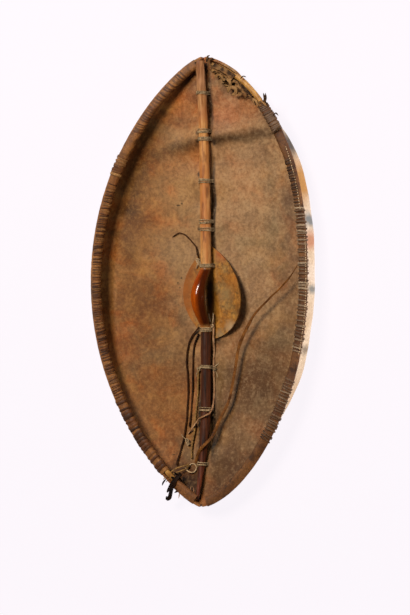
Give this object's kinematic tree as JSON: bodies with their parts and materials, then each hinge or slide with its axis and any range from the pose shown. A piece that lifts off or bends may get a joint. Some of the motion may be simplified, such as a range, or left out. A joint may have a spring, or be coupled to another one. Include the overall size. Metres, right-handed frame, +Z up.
{
  "type": "hide shield",
  "caption": "Pointed-oval hide war shield with a thong-bound wooden rim, a long stick with a bowed grip, a palm guard and loose thongs, lying on its front.",
  "frame": {"origin": "on the surface the shield lies on, under the middle of its outline", "axes": "+Y along the shield to its top tip, +Z up out of the hollow back, +X to the right seen from the back"},
  "size_m": [0.4928, 0.9406, 0.0679],
  "materials": {
    "rawhide": "dry, aged rawhide, brown with darker mottling",
    "guard_hide": "smooth tan rawhide, rubbed",
    "grip_wood": "orange-brown wood, polished dark by the hand at the grip",
    "hoop_wood": "bare bent wood, ochre",
    "thong": "dark twisted and flat rawhide thong"
  },
  "bodies": {
    "root": {"hide": "rawhide", "rim_hoop_left": "hoop_wood", "rim_hoop_right": "hoop_wood", "rim_binding_left": "thong", "rim_binding_right": "thong", "rim_binding_tip": "thong", "torn_rim_hide": "rawhide", "spine_stick": "grip_wood", "palm_guard": "guard_hide", "lashing_01": "thong", "lashing_02": "thong", "lashing_03": "thong", "lashing_04": "thong", "lashing_05": "thong", "lashing_06": "thong", "lashing_07": "thong", "lashing_08": "thong", "lashing_09": "thong", "lashing_10": "thong", "lashing_11": "thong", "thong_grip_curl": "thong", "thong_outer": "thong", "thong_inner": "thong", "thong_twisted": "thong", "thong_light": "thong", "thong_loop": "thong", "strap_long": "thong", "strap_end": "thong"}
  },
  "joints": []
}
